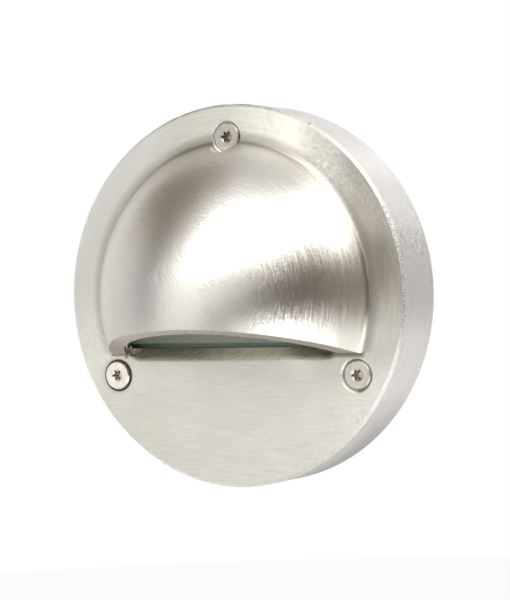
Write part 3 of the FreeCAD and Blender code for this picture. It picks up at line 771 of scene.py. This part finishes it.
def rolled_sheet():
    """Bright aluminium sheet with straight rolling lines and light scratches."""
    material, tree, shader = finish("aluminium_bright", Metallic=1.0, Anisotropic=0.4)
    x, _, z = place(tree)
    lines = level_streaks(tree, z, x, 0.3 * MM, 30 * MM, 3.0)
    scratch = level_streaks(tree, x, total(tree, z, product(tree, x, 0.4)), 0.12 * MM, 7 * MM, 1.0)
    sheet = blend(tree, lines, colour(0.78, 0.78, 0.79), colour(0.90, 0.90, 0.90))
    rough = total(tree, 0.16, product(tree, lines, 0.12), remap(tree, scratch, 0.7, 0.8, 0.0, 0.2))
    normal = relief(tree, scratch, 0.004 * MM, under=relief(tree, lines, 0.006 * MM))
    dress(tree, shader, sheet, rough, normal, vector(tree, 1.0, 0.0, 0.0))
    return material


def plated(name, light, dark, rough, scale=700.0):
    """Plated or drawn metal with a slight mottle."""
    material, tree, shader = finish(name, Metallic=1.0)
    where = vector(tree, *place(tree))
    mottle = noise(tree, where, scale, 3.0, 0.6)
    fine = noise(tree, where, scale * 5, 2.0, 0.5)
    metal = blend(tree, remap(tree, mottle, 0.35, 0.65), colour(*dark), colour(*light))
    rough = total(tree, rough, product(tree, mottle, 0.15))
    dress(tree, shader, metal, rough, relief(tree, fine, 0.004 * MM))
    return material


def moulded(name, light, dark, rough, grain_width, grain_depth, **sockets):
    """Moulded plastic, rubber or glaze: two close tones, a fine grain and a slow ripple."""
    material, tree, shader = finish(name, **sockets)
    where = vector(tree, *place(tree))
    ripple = noise(tree, where, 160.0, 3.0, 0.6)
    grain = noise(tree, where, 1 / grain_width, 3.0, 0.6)
    skin = blend(tree, remap(tree, ripple, 0.3, 0.7), colour(*dark), colour(*light))
    rough = total(tree, rough, product(tree, grain, 0.15))
    normal = relief(tree, grain, grain_depth, under=relief(tree, ripple, 0.05 * MM, 0.3))
    dress(tree, shader, skin, rough, normal)
    return material


def foam():
    """Closed-cell foam rubber: small open pores in a dull black sheet."""
    material, tree, shader = finish("foam_black")
    where = vector(tree, *place(tree))
    pores = cells(tree, where, 1400.0)
    large = cells(tree, where, 520.0)
    pit = product(tree, remap(tree, pores, 0.1, 0.45), remap(tree, large, 0.08, 0.2, 0.4, 1.0))
    sheet = blend(tree, pit, colour(0.012, 0.012, 0.012), colour(0.055, 0.055, 0.057))
    dress(tree, shader, sheet, remap(tree, pit, 0.0, 1.0, 0.95, 0.7), relief(tree, pit, 0.12 * MM))
    return material


def circuit_board():
    """White solder mask over copper: broad tracks show as low steps."""
    material, tree, shader = finish("board_white", Coat_Weight=0.2)
    x, _, z = place(tree)
    where = vector(tree, x, 0.0, z)
    tracks = cells(tree, where, 260.0, "DISTANCE_TO_EDGE", 0.6)
    step = remap(tree, tracks, 0.05, 0.09)
    grain = noise(tree, where, 4000.0)
    mask = blend(tree, step, colour(0.66, 0.67, 0.62), colour(0.80, 0.80, 0.77))
    dress(tree, shader, mask, total(tree, 0.3, product(tree, grain, 0.2)), relief(tree, step, 0.035 * MM))
    return material


def phosphor():
    """Yellow phosphor with a fine grain, in clear resin."""
    material, tree, shader = finish("diode_yellow", Coat_Weight=0.6, Subsurface_Weight=0.1)
    grain = noise(tree, vector(tree, *place(tree)), 5000.0, 3.0, 0.7)
    yellow = blend(tree, grain, colour(0.72, 0.50, 0.05), colour(0.88, 0.68, 0.14))
    dress(tree, shader, yellow, total(tree, 0.25, product(tree, grain, 0.2)), relief(tree, grain, 0.01 * MM))
    return material


def stranded_copper():
    """Tinned copper strands twisted together."""
    material, tree, shader = finish("copper_strands", Metallic=1.0)
    x, _, z = place(tree)
    wave = tree.nodes.new("ShaderNodeTexWave")
    feed(tree, wave.inputs["Vector"], vector(tree, product(tree, x, 2.0), 0.0, z))
    feed(tree, wave.inputs["Scale"], 900.0)
    strands = wave.outputs["Fac"]
    copper = blend(tree, strands, colour(0.42, 0.26, 0.15), colour(0.78, 0.68, 0.58))
    rough = remap(tree, strands, 0.0, 1.0, 0.42, 0.24)
    dress(tree, shader, copper, rough, relief(tree, strands, 0.05 * MM))
    return material


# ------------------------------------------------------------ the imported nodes


def metal_finishes():
    """Finishes of the metal nodes behind the cover."""
    zinc = plated("zinc_plate", (0.70, 0.70, 0.69), (0.55, 0.55, 0.56), 0.28)
    brass = plated("brass_drawn", (0.80, 0.60, 0.27), (0.68, 0.48, 0.20), 0.22)
    return {
        "glass_clamp_ring": turned_steel("stainless_sheet", 0.62, 0.25),
        "clamp_ring_screws": zinc,
        "base_housing": turned_steel("stainless_turned", 0.58),
        "reflector_tray": rolled_sheet(),
        "tray_screws": zinc,
        "lamp_pins": plated("tin_plate", (0.78, 0.78, 0.76), (0.66, 0.66, 0.65), 0.2),
        "lampholder_contacts": brass,
        "lampholder_screw": zinc,
        "terminal_clamps": brass,
        "terminal_screws": zinc,
        "terminal_fixing_screw": zinc,
        "lead_ends": stranded_copper(),
    }


def seal_finishes():
    """Finishes of the rubber, silicone and foam nodes."""
    grey = ((0.55, 0.54, 0.50), (0.47, 0.46, 0.43), 0.45, 0.2 * MM, 0.01 * MM)
    black = ((0.030, 0.030, 0.031), (0.018, 0.018, 0.018), 0.5, 0.15 * MM, 0.02 * MM)
    silicone = moulded("silicone_grey", *grey, Subsurface_Weight=0.15)
    rubber = moulded("rubber_black", *black)
    return {
        "glass_gasket": silicone,
        "cover_seal_ring": rubber,
        "post_seals": silicone,
        "wall_gasket": foam(),
        "cable_grommet": rubber,
    }


def electric_finishes():
    """Finishes of the lamp, its ceramic holder, the terminal block and the leads' silicone sleeves."""
    black = ((0.035, 0.035, 0.036), (0.02, 0.02, 0.02), 0.45, 0.1 * MM, 0.01 * MM)
    glaze = ((0.80, 0.78, 0.71), (0.74, 0.72, 0.65), 0.18, 0.5 * MM, 0.01 * MM)
    nylon = ((0.76, 0.75, 0.70), (0.70, 0.69, 0.64), 0.4, 0.15 * MM, 0.015 * MM)
    red = ((0.50, 0.06, 0.045), (0.42, 0.045, 0.035), 0.42, 0.3 * MM, 0.02 * MM)
    return {
        "led_board": circuit_board(),
        "led_chips": phosphor(),
        "lamp_rectifier": moulded("component_black", *black),
        "lampholder_body": moulded("ceramic_glazed", *glaze, Coat_Weight=0.4),
        "terminal_block": moulded("nylon_white", *nylon, Subsurface_Weight=0.1),
        "lamp_leads": moulded("lead_red", *red, Coat_Weight=0.1),
    }


def screw_finishes():
    """Finishes of the three screws that hold the cover."""
    finishes = {}
    for name, tone, gap_shade in zip(SCREW_NAMES, SCREW_LIGHT_TONES, SCREW_GAP_SHADE):
        node = "cover_screw_" + name
        finishes[node] = screw_steel("screw_steel_" + name, tone, gap_shade, *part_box(node))
    return finishes


def dress_cad_nodes():
    """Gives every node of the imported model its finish."""
    finishes = {"hood_cover": brushed_cover(), "window_glass": frosted_glass()}
    for group in (metal_finishes(), seal_finishes(), electric_finishes(), screw_finishes()):
        finishes.update(group)
    for node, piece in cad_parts.items():
        for slot in piece.material_slots:
            slot.material = finishes[node]


# ------------------------------------------------------------ burrs


BURR_SIDES = 10
BURR_STEPS = 28
BURR_FLATNESS = 0.45                  # thickness across over thickness aside
BURRS = (                             # foot (x, out, z), direction, length, thickness, curl in turns
    ((-36.0, 19.8, -15.3), (0.15, 0.35, 0.85), 3.2, 0.34, 0.9),
    ((-36.3, 19.7, -15.8), (0.30, 0.60, -0.65), 2.6, 0.30, -0.7),
    ((-35.3, 19.7, -15.6), (0.75, 0.50, -0.45), 3.2, 0.34, 0.8),
    ((-35.8, 19.8, -15.0), (0.85, 0.45, 0.35), 2.6, 0.28, -1.1),
    ((26.6, 19.4, 47.4), (0.35, 0.35, 0.85), 1.5, 0.34, 0.25),
)


def burr_points(foot, direction, length, thickness, curl):
    """One curled sliver. Its middle line runs from the foot along the direction and winds about it by the
    curl, a circle of one eighth of the length; round it goes a flattened circle that swells and then thins
    to a point: the thickness times the square root of sin(pi t)."""
    t = np.linspace(0.0, 1.0, BURR_STEPS)[:, None]
    ahead = np.array(direction) / np.linalg.norm(direction)
    aside = np.cross(ahead, (0.0, 0.0, 1.0))
    aside = aside / np.linalg.norm(aside)
    above = np.cross(ahead, aside)
    wind = 2 * math.pi * curl * t
    swing = length / 8 * t
    line = np.array(foot) + ahead * length * t + swing * (aside * np.sin(wind) + above * (1 - np.cos(wind)))
    around = np.linspace(0.0, 2 * math.pi, BURR_SIDES, endpoint=False)[None, :, None]
    swell = (thickness * np.sqrt(np.clip(np.sin(math.pi * t), 0.0, 1.0)))[:, :, None]
    ring = swell * (aside * np.cos(around) + BURR_FLATNESS * above * np.sin(around))
    points = line[:, None, :] + ring
    return points * (1.0, -1.0, 1.0) * MM


def burr_faces(first):
    """Quads between neighbouring rings; the end rings are shrunk to a point by the swell."""
    step, side = np.meshgrid(np.arange(BURR_STEPS - 1), np.arange(BURR_SIDES), indexing="ij")
    here = first + step * BURR_SIDES + side
    beside = first + step * BURR_SIDES + (side + 1) % BURR_SIDES
    return np.stack([here, beside, beside + BURR_SIDES, here + BURR_SIDES], axis=-1).reshape(-1, 4)


def cutting_burrs():
    """The slivers left standing at the opening's lower left corner, and one on the rim at the upper right."""
    points = np.concatenate([burr_points(*burr).reshape(-1, 3) for burr in BURRS])
    faces = np.concatenate([burr_faces(count * BURR_STEPS * BURR_SIDES) for count in range(len(BURRS))])
    mesh = bpy.data.meshes.new("cutting_burrs")
    mesh.from_pydata(points.tolist(), [], faces.tolist())
    mesh.polygons.foreach_set("use_smooth", np.ones(len(faces), dtype=bool))
    mesh.materials.append(plated("burr_steel", (0.97, 0.94, 0.86), (0.62, 0.53, 0.42), 0.2, 1500.0))
    burrs = bpy.data.objects.new("cutting_burrs", mesh)
    bpy.context.scene.collection.objects.link(burrs)
    tidy = bmesh.new()
    tidy.from_mesh(mesh)
    bmesh.ops.remove_doubles(tidy, verts=tidy.verts, dist=1e-7)
    bmesh.ops.recalc_face_normals(tidy, faces=tidy.faces)
    tidy.to_mesh(mesh)
    tidy.free()
    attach(burrs, "cover")


# ------------------------------------------------------------ studio


# Patches of the surroundings, in degrees about the light: the middle, half the width and height, and the
# width of the soft edge. The middle is an azimuth, to the right of the front, and an elevation.
SOFT_LIGHTS = (                       # and how much light the patch adds
    ((50, 44), (68, 22), 18, 1.7),
    ((-11, 31), (15, 12), 14, 2.2),
    ((-26, -8), (20, 25), 14, 0.42),
    ((-100, 8), (22, 22), 20, 0.12),
    ((165, 0), (22, 40), 20, 0.3),
)
LOW_CARD = ((6, -20), (18, 10), 8)
LEFT_CARD = ((-80, 52), (37, 24), 24)
MIDDLE_CARD = ((-57, 12), (9, 24), 14)


def soft_patch(tree, sky, middle, half, fade):
    """1 inside a patch of the sky, 0 outside, with a soft edge, all in degrees."""
    share = 1.0
    for angle, centre, reach in zip(sky, middle, half):
        edge = remap(tree, apart(tree, angle, centre), reach + fade / 2, reach - fade / 2)
        share = product(tree, share, edge)
    return share


def right_card(tree, sky):
    """Share of the large dark card on the right: its left edge leans, and its top falls to the right."""
    azimuth, elevation = sky
    leaning = minus(tree, azimuth, product(tree, elevation, 1.2))
    top = mixed(tree, remap(tree, azimuth, 74, 90), 34, 19)
    return product(
        tree,
        remap(tree, leaning, 19, 28),
        remap(tree, azimuth, 128, 116),
        remap(tree, elevation, -15, -10),
        remap(tree, minus(tree, elevation, top), 5, -5),
    )


def seen_directly(tree, path):
    """1 for rays from the camera, also through glass."""
    return highest(tree, path.outputs["Is Camera Ray"], path.outputs["Is Transmission Ray"])


def studio_sky():
    """Pale surroundings with soft lights and four dark cards, plain white where the camera sees them."""
    world = bpy.data.worlds.new("studio")
    bpy.context.scene.world = world
    world.use_nodes = True
    tree = world.node_tree
    x, y, z = parts_of(tree, tree.nodes.new("ShaderNodeTexCoord").outputs["Generated"])
    azimuth = calc(tree, "DEGREES", calc(tree, "ARCTAN2", x, product(tree, y, -1.0)))
    elevation = calc(tree, "DEGREES", calc(tree, "ARCSINE", z))
    sky = (azimuth, elevation)
    level = mixed(tree, remap(tree, y, 0.2, 0.7), 0.68, 0.82)
    for middle, half, fade, strength in SOFT_LIGHTS:
        level = total(tree, level, product(tree, soft_patch(tree, sky, middle, half, fade), strength))
    right = right_card(tree, sky)
    left = product(tree, soft_patch(tree, sky, *LEFT_CARD), 0.85)
    level = mixed(tree, product(tree, soft_patch(tree, sky, *LOW_CARD), 0.9), level, 0.12)
    level = mixed(tree, right, level, mixed(tree, remap(tree, azimuth, 62, 84), 0.045, 0.26))
    level = mixed(tree, left, level, 0.16)
    level = mixed(tree, product(tree, soft_patch(tree, sky, *MIDDLE_CARD), 0.85), level, 0.1)
    seen = seen_directly(tree, tree.nodes.new("ShaderNodeLightPath"))
    warm = product(tree, highest(tree, right, left), minus(tree, 1.0, seen))
    background = tree.nodes["Background"]
    feed(tree, background.inputs["Color"], tint(tree, colour(1.0, 1.0, 1.0), (1.0, 0.82, 0.66), warm))
    feed(tree, background.inputs["Strength"], mixed(tree, seen, level, 1.0))


FLOOR_HEIGHT = -0.14
FLOOR_RADIUS = 0.43
FLOOR_SIDES = 96
FLOOR_GREY = 0.66
FLOOR_SEEN = 0.85                     # share of plain white where the camera sees the floor
FLOOR_MIRRORED = 0.1                  # the same, where the steel mirrors it


def floor_finish():
    """Matt white: mostly as bright as the background where it is seen, with the shadow kept."""
    grey = colour(FLOOR_GREY, FLOOR_GREY, FLOOR_GREY)
    material, tree, shader = finish("floor_white", Base_Color=grey, Roughness=0.9, Specular_IOR_Level=0.1)
    glow = tree.nodes.new("ShaderNodeEmission")
    glow.inputs["Strength"].default_value = 1.0
    path = tree.nodes.new("ShaderNodeLightPath")
    seen = product(tree, seen_directly(tree, path), FLOOR_SEEN)
    mirrored = product(tree, path.outputs["Is Glossy Ray"], FLOOR_MIRRORED)
    show(tree, mixed_shaders(tree, total(tree, seen, mirrored), shader.outputs[0], glow.outputs[0]))
    return material


def round_floor():
    """Flat disc below the light: one ring of points about a middle point."""
    angles = np.linspace(0.0, 2 * math.pi, FLOOR_SIDES, endpoint=False)
    edge = np.column_stack([np.cos(angles), np.sin(angles), np.zeros(FLOOR_SIDES)]) * FLOOR_RADIUS
    points = np.vstack([edge, [[0.0, 0.0, 0.0]]])
    points[:, 2] = FLOOR_HEIGHT
    start = np.arange(FLOOR_SIDES)
    faces = np.column_stack([start, (start + 1) % FLOOR_SIDES, np.full(FLOOR_SIDES, FLOOR_SIDES)])
    mesh = bpy.data.meshes.new("floor")
    mesh.from_pydata(points.tolist(), [], faces.tolist())
    mesh.materials.append(floor_finish())
    floor = bpy.data.objects.new("floor", mesh)
    bpy.context.scene.collection.objects.link(floor)


LAMP_PLACE = (0.47, -0.45, 0.35)
LAMP_AIM = (0.22, -0.20, FLOOR_HEIGHT)
LAMP_WATTS = 92.0
LAMP_SPREAD = 31.0                    # degrees
LAMP_RADIUS = 0.05


def floor_lamp():
    """Soft spot on the floor in front of the light and to its right; polished metal doesn't show the lamp."""
    light = bpy.data.lights.new("floor_lamp", "SPOT")
    light.energy = LAMP_WATTS
    light.spot_size = math.radians(LAMP_SPREAD)
    light.spot_blend = 1.0
    light.shadow_soft_size = LAMP_RADIUS
    lamp = bpy.data.objects.new("floor_lamp", light)
    lamp.location = LAMP_PLACE
    away = Vector(LAMP_PLACE) - Vector(LAMP_AIM)
    lamp.rotation_euler = away.to_track_quat("Z", "Y").to_euler()
    lamp.visible_glossy = False
    bpy.context.scene.collection.objects.link(lamp)


def photo_camera():
    """Camera where the photograph was taken from: it looks at the middle of the flat face."""
    turn, rise, roll = (math.radians(angle) for angle in (VIEW_TURN, VIEW_RISE, VIEW_ROLL))
    back = Vector((math.sin(turn) * math.cos(rise), -math.cos(turn) * math.cos(rise), math.sin(rise)))
    level = Vector((math.cos(turn), math.sin(turn), 0.0))
    upright = back.cross(level)
    right = level * math.cos(roll) + upright * math.sin(roll)
    top = upright * math.cos(roll) - level * math.sin(roll)
    lens = bpy.data.cameras.new("camera")
    lens.sensor_fit = "VERTICAL"
    lens.sensor_height = SENSOR_HEIGHT
    lens.lens = FOCAL_PIXELS * SENSOR_HEIGHT / PHOTO_HEIGHT
    lens.shift_x = (PHOTO_WIDTH / 2 - AIM_PIXEL[0]) / PHOTO_HEIGHT
    lens.shift_y = (AIM_PIXEL[1] - PHOTO_HEIGHT / 2) / PHOTO_HEIGHT
    camera = bpy.data.objects.new("camera", lens)
    bpy.context.scene.collection.objects.link(camera)
    stand = Matrix((right, top, back)).transposed().to_4x4()
    stand.translation = Vector((0.0, -FACE_OUT, 0.0)) + back * VIEW_DISTANCE
    camera.matrix_world = stand
    bpy.context.scene.camera = camera


photo_camera()
studio_sky()
round_floor()
floor_lamp()
dress_cad_nodes()
cutting_burrs()
bpy.context.scene.view_settings.view_transform = "Standard"
